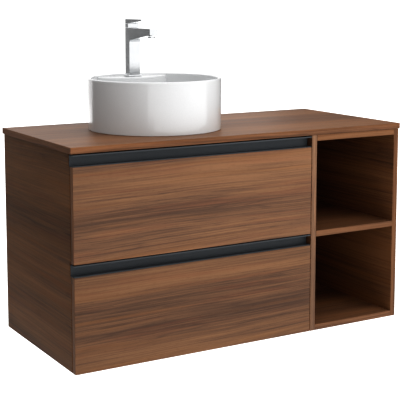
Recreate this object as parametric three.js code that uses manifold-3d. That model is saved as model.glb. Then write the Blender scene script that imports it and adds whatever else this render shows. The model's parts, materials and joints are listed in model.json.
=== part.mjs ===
// Wall-hung vanity: two grip-profile drawers, an open niche, a round vessel basin and a tall tap.
// Millimetres. +X to the right, +Y towards the wall, +Z up.
// The origin lies on the wall face of the upper hanging rail, half way up that rail.

import * as THREE from 'three';
import { mergeVertices } from 'three/addons/utils/BufferGeometryUtils.js';
import Module from 'manifold-3d';

const wasm = await Module();
wasm.setup();

// ---------------------------------------------------------------- driving dimensions

const CABINET_WIDTH = 1000;
const CABINET_HEIGHT = 542;
const DEPTH = 460;
const BOARD = 16;
const COUNTER_THICKNESS = 16;
const COUNTER_OVERHANG = 5;
const DRAWER_BAY_WIDTH = 700;
const RAIL_HEIGHT = 100;
const FRONT_RAIL_DEPTH = 70;
const JOINT = 0.3;

const FRONT_THICKNESS = 16;
const FRONT_BUMPER_GAP = 3;
const FRONT_SIDE_GAP = 2;
const GRIP_BAND = 32;
const UPPER_FRONT_HEIGHT = 237;

const GRIP_DEPTH = 22;
const GRIP_WALL = 1.8;
const GRIP_NOSE = 3.4;
const GRIP_LEG = 18;
const GRIP_TOP_GAP = 2.5;
const GRIP_FOOT_SETBACK = 0.5;

const NICHE_BACK_THICKNESS = 8;
const NICHE_SERVICE_DEPTH = 40;

const BOX_SIDE = 12;
const BOX_BOTTOM = 8;
const BOX_BOTTOM_RAISE = 4;
const BOX_REAR_CLEARANCE = 44;
const UPPER_BOX_BASE = -196;
const UPPER_BOX_HEIGHT = 150;
const LOWER_BOX_BASE = -466;
const LOWER_BOX_HEIGHT = 180;
const SIPHON_RECESS_WIDTH = 100;
const SIPHON_RECESS_REACH = 50;
const SIPHON_WALL = 6;

const RUNNER_WIDTH = 12.7;
const RUNNER_LENGTH = 400;
const RUNNER_SHEET = 1.2;
const RUNNER_INSET = 2;
const RUNNER_ABOVE_BASE = 40;

const HANGER_WIDTH = 18;
const HANGER_DEPTH = 22;
const HANGER_HEIGHT = 60;
const HOOK_WIDTH = 8;
const HOOK_SLOT_HEIGHT = 20;
const HOOK_SLOT_CLEARANCE = 1;
const HOOK_WALL_GAP = 2;
const HOOK_ARM = [7, 18];
const HOOK_LIP = [2, 10];
const HOOK_LIP_THICKNESS = 3;

const BASIN_X = -150;
const BASIN_SETBACK = 217;
const BASIN_RADIUS = 180;
const BASIN_HEIGHT = 138;
const BASIN_WALL = 8;
const BASIN_FOOT = 15;
const BOWL_FLOOR = 32;
const BOWL_FLOOR_RISE = 6;
const BOWL_FLOOR_THICKNESS = 12;
const BOWL_CORNER = 42;
const DECK_DROP = 5;
const DECK_FRONT = 92;
const DECK_ARC = 162;
const DECK_SKIN = 9;

const WASTE_HOLE = 23;
const WASTE_TUBE = 20;
const WASTE_BORE = 16.5;
const WASTE_FLANGE = 33;
const WASTE_FLANGE_THICKNESS = 2.5;
const WASTE_TUBE_BOTTOM = 12;
const WASTE_GASKET = 31;
const WASTE_GASKET_THICKNESS = 3;
const WASTE_NUT = 30;
const WASTE_NUT_HEIGHT = 9;
const PLUG_RADIUS = 30;
const PLUG_HEIGHT = 5.7;
const PLUG_EDGE = 2;
const PLUG_STEM = 6;
const PLUG_STEM_LENGTH = 30;
const TRAP_TUBE = 16;
const TRAP_BOTTLE = 28;
const TRAP_CUP = 32;
const TRAP_NUT = 27;
const TRAP_NUT_HEIGHT = 16;
const TRAP_TOP = -46;
const TRAP_BOTTLE_HEIGHT = 78;
const TRAP_CUP_HEIGHT = 42;
const TRAP_ARM_Z = -78;
const COUNTER_WASTE_HOLE = 35;
const COUNTER_TAP_HOLE = 25;

const TAP_SETBACK = 87.5;
const TAP_WIDTH = 33;
const TAP_DEPTH = 25;
const TAP_PLATE = 4;
const SPOUT_REACH = 113;
const SPOUT_ROOT_HEIGHT = 33;
const SPOUT_ROOT_CHAMFER = 5;
const SPOUT_TIP_HEIGHT = 17;
const SPOUT_TIP_WIDTH = 23;
const SPOUT_TOP = 334;
const AERATOR_RADIUS = 10.5;
const AERATOR_INSET = 14;
const NECK_DEPTH = 17.5;
const NECK_HEIGHT = 12;
const LEVER_REACH = 88;
const LEVER_BACK_HEIGHT = 12.2;
const LEVER_TIP_HEIGHT = 4;
const LEVER_TIP_WIDTH = 24;
const SHANK_RADIUS = 15;
const SHANK_BELOW_DECK = 42;
const TAP_HOLE = 17;
const TAP_NUT = 22;
const TAP_NUT_HEIGHT = 12;
const CARTRIDGE_RADIUS = 9;
const CARTRIDGE_LENGTH = 28;
const AERATOR_HEIGHT = 4;

// ---------------------------------------------------------------- places worked out from them

const LEFT = -CABINET_WIDTH / 2;
const RIGHT = CABINET_WIDTH / 2;
const FRONT = -DEPTH;
const WALL = 0;
const TOP = RAIL_HEIGHT / 2;
const BOTTOM = TOP - CABINET_HEIGHT;
const COUNTER_TOP = TOP + COUNTER_THICKNESS;
const DIVIDER = LEFT + DRAWER_BAY_WIDTH;
const FRONT_BACK = FRONT + FRONT_THICKNESS;
const PANEL_FRONT = FRONT_BACK + FRONT_BUMPER_GAP;
const BAY_X = [LEFT + BOARD + JOINT, DIVIDER - JOINT];
const NICHE_X = [DIVIDER + BOARD + JOINT, RIGHT - BOARD - JOINT];
const FLOOR_TOP = BOTTOM + BOARD;
const UPPER_FRONT_TOP = TOP - GRIP_BAND;
const UPPER_FRONT_BOTTOM = UPPER_FRONT_TOP - UPPER_FRONT_HEIGHT;
const LOWER_FRONT_TOP = UPPER_FRONT_BOTTOM - GRIP_BAND;
const BASIN_Y = WALL - BASIN_SETBACK;
const BASIN_BASE = COUNTER_TOP + JOINT;
const DECK_TOP = BASIN_BASE + BASIN_HEIGHT - DECK_DROP;
const TAP_Y = WALL - TAP_SETBACK;
const SEGMENTS = 32;
const BASIN_SEGMENTS = 64;
const ARC_STEPS = 6;

// ---------------------------------------------------------------- materials

function finish(color, roughness, metalness) {
  return new THREE.MeshStandardMaterial({ color, roughness, metalness });
}

const walnut = () => finish(0x76533b, 0.55, 0);
const innerBoard = () => finish(0x8b8780, 0.7, 0);
const anthracite = () => finish(0x34363a, 0.5, 0.4);
const steel = () => finish(0xb4b8bb, 0.4, 0.9);
const chrome = () => finish(0xe6e8ea, 0.08, 1);
const ceramic = () => finish(0xf5f5f3, 0.12, 0);
const rubber = () => finish(0x26262a, 0.8, 0);
const plastic = () => finish(0xe8e8e4, 0.4, 0);

// ---------------------------------------------------------------- solid helpers

const group = new THREE.Group();

function add(name, geometry, material) {
  const mesh = new THREE.Mesh(geometry, material);
  mesh.name = name;
  group.add(mesh);
  return mesh;
}

// A box from its low and high limits along each axis.
function block(x, y, z) {
  const geometry = new THREE.BoxGeometry(x[1] - x[0], y[1] - y[0], z[1] - z[0]);
  return geometry.translate((x[0] + x[1]) / 2, (y[0] + y[1]) / 2, (z[0] + z[1]) / 2);
}

function outline(points) {
  return new THREE.Shape(points.map(([u, v]) => new THREE.Vector2(u, v)));
}

// Plan outline (x, y) raised from z[0] to z[1].
function raise(shape, z) {
  const geometry = new THREE.ExtrudeGeometry(shape, { depth: z[1] - z[0], bevelEnabled: false });
  return geometry.translate(0, 0, z[0]);
}

// Side outline (y, z) drawn out from x[0] to x[1].
function drawAlongX(shape, x) {
  const geometry = new THREE.ExtrudeGeometry(shape, { depth: x[1] - x[0], bevelEnabled: false });
  const basis = new THREE.Matrix4().makeBasis(
    new THREE.Vector3(0, 1, 0),
    new THREE.Vector3(0, 0, 1),
    new THREE.Vector3(1, 0, 0),
  );
  return geometry.applyMatrix4(basis).translate(x[0], 0, 0);
}

// Front outline (x, z) drawn out from y[0] to y[1].
function drawAlongY(shape, y) {
  const geometry = new THREE.ExtrudeGeometry(shape, { depth: y[1] - y[0], bevelEnabled: false });
  return geometry.rotateX(Math.PI / 2).translate(0, y[1], 0);
}

// Upright round bar at (x, y), from z[0] to z[1].
function bar(radius, x, y, z, segments = SEGMENTS) {
  const geometry = new THREE.CylinderGeometry(radius, radius, z[1] - z[0], segments);
  return geometry.rotateX(Math.PI / 2).translate(x, y, (z[0] + z[1]) / 2);
}

// A turned piece about the upright axis at (x, y): its profile is [radius, height] pairs.
function turned(profile, x, y, base, segments = SEGMENTS) {
  const points = profile.map(([r, h]) => new THREE.Vector2(r, h));
  const geometry = new THREE.LatheGeometry(points, segments).rotateX(Math.PI / 2);
  return closed(geometry).translate(x, y, base);
}

function ringProfile(inner, outer, low, high) {
  return [[inner, low], [outer, low], [outer, high], [inner, high], [inner, low]];
}

function signedVolume(geometry) {
  const p = geometry.attributes.position;
  const index = geometry.index.array;
  const corners = [new THREE.Vector3(), new THREE.Vector3(), new THREE.Vector3()];
  let sum = 0;
  for (let i = 0; i < index.length; i += 3) {
    corners.forEach((corner, k) => corner.fromBufferAttribute(p, index[i + k]));
    sum += corners[0].dot(corners[1].cross(corners[2]));
  }
  return sum / 6;
}

// Shared corners merged, needle faces dropped and every face turned outwards.
function closed(source) {
  const bare = source.clone();
  bare.deleteAttribute('normal');
  bare.deleteAttribute('uv');
  const geometry = mergeVertices(bare, 1e-4);
  const kept = [];
  const index = geometry.index.array;
  for (let i = 0; i < index.length; i += 3) {
    const [a, b, c] = index.slice(i, i + 3);
    if (a !== b && b !== c && c !== a) kept.push(a, b, c);
  }
  geometry.setIndex(kept);
  if (signedVolume(geometry) < 0) {
    for (let i = 0; i < kept.length; i += 3) [kept[i], kept[i + 1]] = [kept[i + 1], kept[i]];
    geometry.setIndex(kept);
  }
  return geometry;
}

function solid(geometry) {
  const merged = closed(geometry);
  return new wasm.Manifold(new wasm.Mesh({
    numProp: 3,
    vertProperties: new Float32Array(merged.attributes.position.array),
    triVerts: new Uint32Array(merged.index.array),
  }));
}

function geometryOf(body) {
  const mesh = body.getMesh();
  const geometry = new THREE.BufferGeometry();
  geometry.setAttribute('position', new THREE.BufferAttribute(new Float32Array(mesh.vertProperties), 3));
  geometry.setIndex([...mesh.triVerts]);
  geometry.computeVertexNormals();
  return geometry;
}

function cut(base, ...tools) {
  return geometryOf(tools.reduce((body, tool) => body.subtract(solid(tool)), solid(base)));
}

function join(...pieces) {
  const [first, ...rest] = pieces.map(solid);
  return geometryOf(rest.reduce((body, piece) => body.add(piece), first));
}

function common(first, second) {
  return geometryOf(solid(first).intersect(solid(second)));
}

function hexNut(corner, bore, x, y, z) {
  return cut(bar(corner, x, y, z, 6), bar(bore, x, y, [z[0] - 1, z[1] + 1], 24));
}

// ---------------------------------------------------------------- carcass

// The left side's front edge steps back behind each grip profile.
function gripNotch(edge) {
  const y = [PANEL_FRONT - 1, FRONT + GRIP_DEPTH + FRONT_BUMPER_GAP];
  return block([LEFT - 1, LEFT + BOARD + 1], y, [edge - 1, edge + GRIP_BAND + JOINT]);
}

function addCarcass() {
  const counterX = [LEFT - COUNTER_OVERHANG, RIGHT + COUNTER_OVERHANG];
  const counterZ = [TOP + JOINT, COUNTER_TOP];
  const through = [TOP - 1, COUNTER_TOP + 1];
  const counter = cut(
    block(counterX, [FRONT, WALL], counterZ),
    bar(COUNTER_WASTE_HOLE, BASIN_X, BASIN_Y, through),
    bar(COUNTER_TAP_HOLE, BASIN_X, TAP_Y, through),
  );
  add('countertop', counter, walnut());

  const full = [BOTTOM, TOP];
  const sideBoard = block([LEFT, LEFT + BOARD], [PANEL_FRONT, WALL], full);
  add('left_side_panel', cut(sideBoard, gripNotch(UPPER_FRONT_TOP), gripNotch(LOWER_FRONT_TOP)), walnut());
  add('divider_panel', block([DIVIDER, DIVIDER + BOARD], [FRONT, WALL], full), walnut());
  add('right_side_panel', block([RIGHT - BOARD, RIGHT], [FRONT, WALL], full), walnut());
  add('bay_bottom_panel', block(BAY_X, [PANEL_FRONT, WALL], [BOTTOM, FLOOR_TOP]), walnut());

  const railFront = FRONT + GRIP_DEPTH + FRONT_BUMPER_GAP;
  const frontRailY = [railFront, railFront + FRONT_RAIL_DEPTH];
  add('front_top_rail', block(BAY_X, frontRailY, [TOP - BOARD, TOP]), walnut());
  const rearBottomZ = [FLOOR_TOP + JOINT, FLOOR_TOP + RAIL_HEIGHT];
  add('rear_bottom_rail', block(BAY_X, [-BOARD, WALL], rearBottomZ), walnut());
}

function addNiche() {
  const backFace = WALL - NICHE_SERVICE_DEPTH;
  const backY = [backFace - NICHE_BACK_THICKNESS, backFace];
  const underTop = TOP - BOARD - JOINT;
  const middle = (TOP + BOTTOM) / 2;
  add('niche_top_panel', block(NICHE_X, [FRONT, WALL], [TOP - BOARD, TOP]), walnut());
  add('niche_bottom_panel', block(NICHE_X, [FRONT, WALL], [BOTTOM, FLOOR_TOP]), walnut());
  add('niche_back_panel', block(NICHE_X, backY, [FLOOR_TOP + JOINT, underTop]), walnut());
  const shelfY = [FRONT, backY[0] - JOINT];
  add('niche_shelf', block(NICHE_X, shelfY, [middle - BOARD / 2, middle + BOARD / 2]), walnut());
}

// The hook passes through a slot in its hanging rail and drops over a plate on the wall.
function hangerGeometry(x0) {
  const inner = WALL - BOARD - JOINT;
  const hookTip = WALL - HOOK_WALL_GAP;
  const middle = x0 + HANGER_WIDTH / 2;
  const hookX = [middle - HOOK_WIDTH / 2, middle + HOOK_WIDTH / 2];
  const bodyZ = [TOP - BOARD - JOINT - HANGER_HEIGHT, TOP - BOARD - JOINT];
  const body = block([x0, x0 + HANGER_WIDTH], [inner - HANGER_DEPTH, inner], bodyZ);
  const arm = block(hookX, [inner - HANGER_DEPTH / 2, hookTip], HOOK_ARM);
  const lip = block(hookX, [hookTip - HOOK_LIP_THICKNESS, hookTip], HOOK_LIP);
  return join(body, arm, lip);
}

function slotFor(x0) {
  const middle = x0 + HANGER_WIDTH / 2;
  const half = HOOK_WIDTH / 2 + HOOK_SLOT_CLEARANCE;
  return block([middle - half, middle + half], [WALL - BOARD - 1, WALL + 1], [0, HOOK_SLOT_HEIGHT]);
}

function addHanging() {
  const leftX = LEFT + BOARD + JOINT;
  const centreX = DIVIDER - JOINT - HANGER_WIDTH;
  const rightX = RIGHT - BOARD - JOINT - HANGER_WIDTH;
  const bayRail = block(BAY_X, [-BOARD, WALL], [-TOP, TOP]);
  add('rear_top_rail', cut(bayRail, slotFor(leftX), slotFor(centreX)), walnut());
  const nicheRail = block(NICHE_X, [-BOARD, WALL], [-TOP, TOP - BOARD - JOINT]);
  add('niche_hanging_rail', cut(nicheRail, slotFor(rightX)), walnut());
  add('hanger_left', hangerGeometry(leftX), steel());
  add('hanger_centre', hangerGeometry(centreX), steel());
  add('hanger_right', hangerGeometry(rightX), steel());
}

// ---------------------------------------------------------------- basin

// Half section of the bowl: dished floor, round corner, straight wall, rounded rim, foot ring.
function basinProfile() {
  const inner = BASIN_RADIUS - BASIN_WALL;
  const cornerStart = inner - BOWL_CORNER;
  const floorEdge = BOWL_FLOOR + BOWL_FLOOR_RISE;
  const rim = BASIN_WALL / 2;
  const under = BOWL_FLOOR - BOWL_FLOOR_THICKNESS;
  const path = new THREE.Path();
  path.moveTo(WASTE_HOLE, BOWL_FLOOR);
  path.lineTo(cornerStart, floorEdge);
  path.absarc(cornerStart, floorEdge + BOWL_CORNER, BOWL_CORNER, -Math.PI / 2, 0, false);
  path.lineTo(inner, BASIN_HEIGHT - rim);
  path.absarc(inner + rim, BASIN_HEIGHT - rim, rim, Math.PI, 0, true);
  path.lineTo(BASIN_RADIUS, 0);
  path.lineTo(BASIN_RADIUS - BASIN_FOOT, 0);
  path.lineTo(BASIN_RADIUS - BASIN_FOOT, under);
  path.lineTo(WASTE_HOLE, under);
  path.closePath();
  return path.getPoints(ARC_STEPS).map((p) => [p.x, p.y]);
}

// The tap ledge is the part of the bowl that a second, larger circle behind it takes up.
function ledge(outer, arc, z) {
  const arcCentre = BASIN_Y + DECK_FRONT + DECK_ARC;
  return common(
    bar(outer, BASIN_X, BASIN_Y, z, BASIN_SEGMENTS),
    bar(arc, BASIN_X, arcCentre, z, BASIN_SEGMENTS),
  );
}

function addBasin() {
  const shell = turned(basinProfile(), BASIN_X, BASIN_Y, BASIN_BASE, BASIN_SEGMENTS);
  const platform = ledge(BASIN_RADIUS - BASIN_WALL / 2, DECK_ARC, [BASIN_BASE, DECK_TOP]);
  const hollow = ledge(
    BASIN_RADIUS - BASIN_FOOT,
    DECK_ARC - DECK_SKIN,
    [BASIN_BASE - 1, DECK_TOP - DECK_SKIN],
  );
  const tapHole = bar(TAP_HOLE, BASIN_X, TAP_Y, [BASIN_BASE, DECK_TOP + 1]);
  add('basin', cut(join(shell, platform), hollow, tapHole), ceramic());
}

// ---------------------------------------------------------------- waste and trap

function addWaste() {
  const seat = BASIN_BASE + BOWL_FLOOR + BOWL_FLOOR_RISE / 2;
  const flangeTop = seat + WASTE_FLANGE_THICKNESS;
  const bodyProfile = [
    [WASTE_BORE, WASTE_TUBE_BOTTOM],
    [WASTE_TUBE, WASTE_TUBE_BOTTOM],
    [WASTE_TUBE, seat],
    [WASTE_FLANGE, seat],
    [WASTE_FLANGE, flangeTop],
    [WASTE_BORE, flangeTop],
    [WASTE_BORE, WASTE_TUBE_BOTTOM],
  ];
  add('waste_body', turned(bodyProfile, BASIN_X, BASIN_Y, 0), chrome());

  const stemLow = flangeTop - PLUG_STEM_LENGTH;
  const under = flangeTop + JOINT;
  const plugProfile = [
    [0, stemLow],
    [PLUG_STEM, stemLow],
    [PLUG_STEM, under],
    [PLUG_RADIUS, under],
    [PLUG_RADIUS, under + PLUG_HEIGHT / 2],
    [PLUG_RADIUS - PLUG_EDGE, under + 0.75 * PLUG_HEIGHT],
    [0, under + PLUG_HEIGHT],
  ];
  add('waste_plug', turned(plugProfile, BASIN_X, BASIN_Y, 0), chrome());

  const floorUnder = BASIN_BASE + BOWL_FLOOR - BOWL_FLOOR_THICKNESS;
  const gasket = [floorUnder - JOINT - WASTE_GASKET_THICKNESS, floorUnder - JOINT];
  const nut = [gasket[0] - JOINT - WASTE_NUT_HEIGHT, gasket[0] - JOINT];
  const clear = WASTE_TUBE + JOINT;
  add('waste_gasket', turned(ringProfile(clear, WASTE_GASKET, ...gasket), BASIN_X, BASIN_Y, 0), rubber());
  add('waste_nut', hexNut(WASTE_NUT, clear, BASIN_X, BASIN_Y, nut), chrome());
}

function addTrap() {
  const cupTop = TRAP_TOP - TRAP_BOTTLE_HEIGHT;
  const tailTop = WASTE_TUBE_BOTTOM - JOINT;
  const tailBottom = TRAP_TOP + JOINT;
  add('trap_tailpiece', bar(TRAP_TUBE, BASIN_X, BASIN_Y, [tailBottom, tailTop]), chrome());
  const nutProfile = ringProfile(TRAP_TUBE + JOINT, TRAP_NUT, tailBottom, tailBottom + TRAP_NUT_HEIGHT);
  add('trap_union_nut', turned(nutProfile, BASIN_X, BASIN_Y, 0), chrome());
  add('trap_bottle', bar(TRAP_BOTTLE, BASIN_X, BASIN_Y, [cupTop + JOINT, TRAP_TOP]), chrome());
  add('trap_cup', bar(TRAP_CUP, BASIN_X, BASIN_Y, [cupTop - TRAP_CUP_HEIGHT, cupTop]), chrome());
  const armLength = WALL - (BASIN_Y + TRAP_BOTTLE + JOINT);
  const arm = new THREE.CylinderGeometry(TRAP_TUBE, TRAP_TUBE, armLength, SEGMENTS);
  arm.translate(BASIN_X, WALL - armLength / 2, TRAP_ARM_Z);
  add('trap_outlet_arm', arm, chrome());
}

// ---------------------------------------------------------------- tap

// A side outline drawn out to rootWidth and narrowed in plan towards its tip.
function taperedBar(sideOutline, back, root, tip, tipWidth) {
  const half = TAP_WIDTH / 2;
  const tipHalf = tipWidth / 2;
  const allHeights = [DECK_TOP, SPOUT_TOP + NECK_HEIGHT + 2 * LEVER_BACK_HEIGHT];
  const plan = outline([
    [BASIN_X - half, back],
    [BASIN_X - half, root],
    [BASIN_X - tipHalf, tip],
    [BASIN_X + tipHalf, tip],
    [BASIN_X + half, root],
    [BASIN_X + half, back],
  ]);
  return common(
    drawAlongX(sideOutline, [BASIN_X - TAP_WIDTH, BASIN_X + TAP_WIDTH]),
    raise(plan, allHeights),
  );
}

function addTap() {
  const back = TAP_Y + TAP_DEPTH / 2;
  const front = TAP_Y - TAP_DEPTH / 2;
  const half = TAP_WIDTH / 2;
  const plateTop = DECK_TOP + JOINT + TAP_PLATE;
  const columnFoot = plateTop + JOINT;
  const plateX = [BASIN_X - half - TAP_PLATE, BASIN_X + half + TAP_PLATE];
  const plateY = [front - TAP_PLATE, back + TAP_PLATE];
  const plate = cut(
    block(plateX, plateY, [DECK_TOP + JOINT, plateTop]),
    bar(SHANK_RADIUS + JOINT, BASIN_X, TAP_Y, [DECK_TOP, plateTop + 1], 24),
  );
  add('tap_base_plate', plate, chrome());

  const spoutTip = front - SPOUT_REACH;
  const side = outline([
    [back, columnFoot],
    [back, SPOUT_TOP],
    [spoutTip, SPOUT_TOP],
    [spoutTip, SPOUT_TOP - SPOUT_TIP_HEIGHT],
    [front - SPOUT_ROOT_CHAMFER, SPOUT_TOP - SPOUT_ROOT_HEIGHT],
    [front, SPOUT_TOP - SPOUT_ROOT_HEIGHT - SPOUT_ROOT_CHAMFER],
    [front, columnFoot],
  ]);
  const cartridgeZ = [SPOUT_TOP - CARTRIDGE_LENGTH, SPOUT_TOP];
  const socketZ = [cartridgeZ[0] - JOINT, SPOUT_TOP + 1];
  const body = cut(
    taperedBar(side, back, front, spoutTip, SPOUT_TIP_WIDTH),
    bar(CARTRIDGE_RADIUS + JOINT, BASIN_X, TAP_Y, socketZ, 24),
  );
  add('tap_body', body, chrome());
  add('tap_cartridge', bar(CARTRIDGE_RADIUS, BASIN_X, TAP_Y, cartridgeZ, 24), plastic());

  const aeratorTop = SPOUT_TOP - SPOUT_TIP_HEIGHT - JOINT;
  const aeratorY = spoutTip + AERATOR_INSET;
  const drop = ((SPOUT_ROOT_HEIGHT - SPOUT_TIP_HEIGHT) * (AERATOR_INSET + AERATOR_RADIUS)) / SPOUT_REACH;
  const aeratorZ = [aeratorTop - drop - AERATOR_HEIGHT, aeratorTop - drop];
  add('tap_aerator', bar(AERATOR_RADIUS, BASIN_X, aeratorY, aeratorZ), chrome());

  const neckZ = [SPOUT_TOP + JOINT, SPOUT_TOP + NECK_HEIGHT];
  const neckFront = back - NECK_DEPTH;
  add('tap_lever_neck', block([BASIN_X - half, BASIN_X + half], [neckFront, back], neckZ), chrome());

  const leverBase = neckZ[1] + JOINT;
  const leverTop = leverBase + LEVER_BACK_HEIGHT;
  const leverTip = back - LEVER_REACH;
  const leverSide = outline([
    [back, leverBase],
    [back, leverTop],
    [leverTip, leverTop],
    [leverTip, leverTop - LEVER_TIP_HEIGHT],
    [neckFront, leverBase],
  ]);
  add('tap_lever', taperedBar(leverSide, back, neckFront, leverTip, LEVER_TIP_WIDTH), chrome());

  const deckUnder = DECK_TOP - DECK_SKIN;
  const shankZ = [deckUnder - SHANK_BELOW_DECK, columnFoot - JOINT];
  add('tap_shank', bar(SHANK_RADIUS, BASIN_X, TAP_Y, shankZ, 24), steel());
  const nutZ = [deckUnder - JOINT - TAP_NUT_HEIGHT, deckUnder - JOINT];
  add('tap_fixing_nut', hexNut(TAP_NUT, SHANK_RADIUS + JOINT, BASIN_X, TAP_Y, nutZ), steel());
}

// ---------------------------------------------------------------- drawer runners

// One C-section of a telescopic runner: its web stands at webX and its flanges reach to lipX.
function channel(webX, lipX, halfHeight) {
  const s = Math.sign(lipX - webX) * RUNNER_SHEET;
  return outline([
    [webX, -halfHeight],
    [lipX, -halfHeight],
    [lipX, -halfHeight + RUNNER_SHEET],
    [webX + s, -halfHeight + RUNNER_SHEET],
    [webX + s, halfHeight - RUNNER_SHEET],
    [lipX, halfHeight - RUNNER_SHEET],
    [lipX, halfHeight],
    [webX, halfHeight],
  ]);
}

// Fixed, middle and moving members of one runner; towards is +1 on the left wall, -1 on the right.
function addRunner(name, wallX, towards, z) {
  const start = PANEL_FRONT + RUNNER_INSET;
  const y = [start, start + RUNNER_LENGTH];
  const members = [
    { member: 'fixed_rail', web: 0, lip: 9.5, halfHeight: 22.5 },
    { member: 'middle_rail', web: 3, lip: 10.5, halfHeight: 18.5 },
    { member: 'drawer_rail', web: RUNNER_WIDTH, lip: 6, halfHeight: 14 },
  ];
  for (const { member, web, lip, halfHeight } of members) {
    const section = channel(wallX + towards * web, wallX + towards * lip, halfHeight);
    add(`${name}_${member}`, drawAlongY(section, y).translate(0, 0, z), steel());
  }
}

// ---------------------------------------------------------------- drawers

// Grip profile standing on a front's top edge: a C open to the front and a leg behind the front.
function gripSection(edge) {
  const z = edge + JOINT;
  const top = edge + GRIP_BAND - GRIP_TOP_GAP;
  const back = FRONT + GRIP_DEPTH;
  const leg = FRONT_BACK + JOINT;
  return outline([
    [FRONT, top],
    [FRONT, top - GRIP_NOSE],
    [FRONT + GRIP_WALL, top - GRIP_NOSE],
    [FRONT + GRIP_WALL, top - GRIP_WALL],
    [back - GRIP_WALL, top - GRIP_WALL],
    [back - GRIP_WALL, z + GRIP_WALL],
    [FRONT + GRIP_FOOT_SETBACK, z + GRIP_WALL],
    [FRONT + GRIP_FOOT_SETBACK, z],
    [leg, z],
    [leg, z - GRIP_LEG],
    [leg + GRIP_WALL, z - GRIP_LEG],
    [leg + GRIP_WALL, z],
    [back, z],
    [back, top],
  ]);
}

const BOX_X = [LEFT + BOARD + RUNNER_WIDTH + 2 * JOINT, DIVIDER - RUNNER_WIDTH - 2 * JOINT];
const BOX_Y = [FRONT_BACK + JOINT, WALL - BOX_REAR_CLEARANCE];
const BOX_INSIDE_X = [BOX_X[0] + BOX_SIDE + JOINT, BOX_X[1] - BOX_SIDE - JOINT];
const BACK_Y = [BOX_Y[1] - BOX_SIDE, BOX_Y[1]];
const RECESS_X = [BASIN_X - SIPHON_RECESS_WIDTH / 2, BASIN_X + SIPHON_RECESS_WIDTH / 2];
const RECESS_FRONT = BASIN_Y - SIPHON_RECESS_REACH;

function addFront(name, bottom, top) {
  const x = [LEFT, DIVIDER - FRONT_SIDE_GAP];
  add(`${name}_drawer_front`, block(x, [FRONT, FRONT_BACK], [bottom, top]), walnut());
  add(`${name}_grip_profile`, drawAlongX(gripSection(top), x), anthracite());
}

function addBoxSides(name, base, height) {
  const z = [base, base + height];
  add(`${name}_drawer_left_side`, block([BOX_X[0], BOX_X[0] + BOX_SIDE], BOX_Y, z), innerBoard());
  add(`${name}_drawer_right_side`, block([BOX_X[1] - BOX_SIDE, BOX_X[1]], BOX_Y, z), innerBoard());
}

function addUpperDrawer() {
  const floor = UPPER_BOX_BASE + BOX_BOTTOM_RAISE;
  const floorTop = floor + BOX_BOTTOM;
  const wallZ = [floorTop + JOINT, UPPER_BOX_BASE + UPPER_BOX_HEIGHT];
  const wallX = [RECESS_X[0] - SIPHON_WALL, RECESS_X[1] + SIPHON_WALL];
  addFront('upper', UPPER_FRONT_BOTTOM, UPPER_FRONT_TOP);
  addBoxSides('upper', UPPER_BOX_BASE, UPPER_BOX_HEIGHT);
  const bottom = outline([
    [BOX_INSIDE_X[0], BOX_Y[0]],
    [BOX_INSIDE_X[1], BOX_Y[0]],
    [BOX_INSIDE_X[1], BOX_Y[1]],
    [RECESS_X[1], BOX_Y[1]],
    [RECESS_X[1], RECESS_FRONT],
    [RECESS_X[0], RECESS_FRONT],
    [RECESS_X[0], BOX_Y[1]],
    [BOX_INSIDE_X[0], BOX_Y[1]],
  ]);
  add('upper_drawer_bottom', raise(bottom, [floor, floorTop]), innerBoard());
  const recessWall = outline([
    [wallX[0], RECESS_FRONT - SIPHON_WALL],
    [wallX[1], RECESS_FRONT - SIPHON_WALL],
    [wallX[1], BOX_Y[1]],
    [RECESS_X[1], BOX_Y[1]],
    [RECESS_X[1], RECESS_FRONT],
    [RECESS_X[0], RECESS_FRONT],
    [RECESS_X[0], BOX_Y[1]],
    [wallX[0], BOX_Y[1]],
  ]);
  add('upper_drawer_siphon_wall', raise(recessWall, wallZ), innerBoard());
  const backLeftX = [BOX_INSIDE_X[0], wallX[0] - JOINT];
  const backRightX = [wallX[1] + JOINT, BOX_INSIDE_X[1]];
  add('upper_drawer_back_left', block(backLeftX, BACK_Y, wallZ), innerBoard());
  add('upper_drawer_back_right', block(backRightX, BACK_Y, wallZ), innerBoard());
}

function addLowerDrawer() {
  const floor = LOWER_BOX_BASE + BOX_BOTTOM_RAISE;
  const floorTop = floor + BOX_BOTTOM;
  addFront('lower', BOTTOM, LOWER_FRONT_TOP);
  addBoxSides('lower', LOWER_BOX_BASE, LOWER_BOX_HEIGHT);
  add('lower_drawer_bottom', block(BOX_INSIDE_X, BOX_Y, [floor, floorTop]), innerBoard());
  const backZ = [floorTop + JOINT, LOWER_BOX_BASE + LOWER_BOX_HEIGHT];
  add('lower_drawer_back', block(BOX_INSIDE_X, BACK_Y, backZ), innerBoard());
}

// ---------------------------------------------------------------- assembly

addCarcass();
addNiche();
addHanging();
addBasin();
addWaste();
addTrap();
addTap();
for (const [level, base] of [['upper', UPPER_BOX_BASE], ['lower', LOWER_BOX_BASE]]) {
  addRunner(`${level}_left`, LEFT + BOARD + JOINT, 1, base + RUNNER_ABOVE_BASE);
  addRunner(`${level}_right`, DIVIDER - JOINT, -1, base + RUNNER_ABOVE_BASE);
}
addUpperDrawer();
addLowerDrawer();

export default group;
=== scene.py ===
"""Looks of the wall-hung vanity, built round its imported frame. Metres, +X right, +Y to the wall, +Z up."""

import json
import math

import bmesh
import bpy
from mathutils import Matrix, Vector


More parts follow.
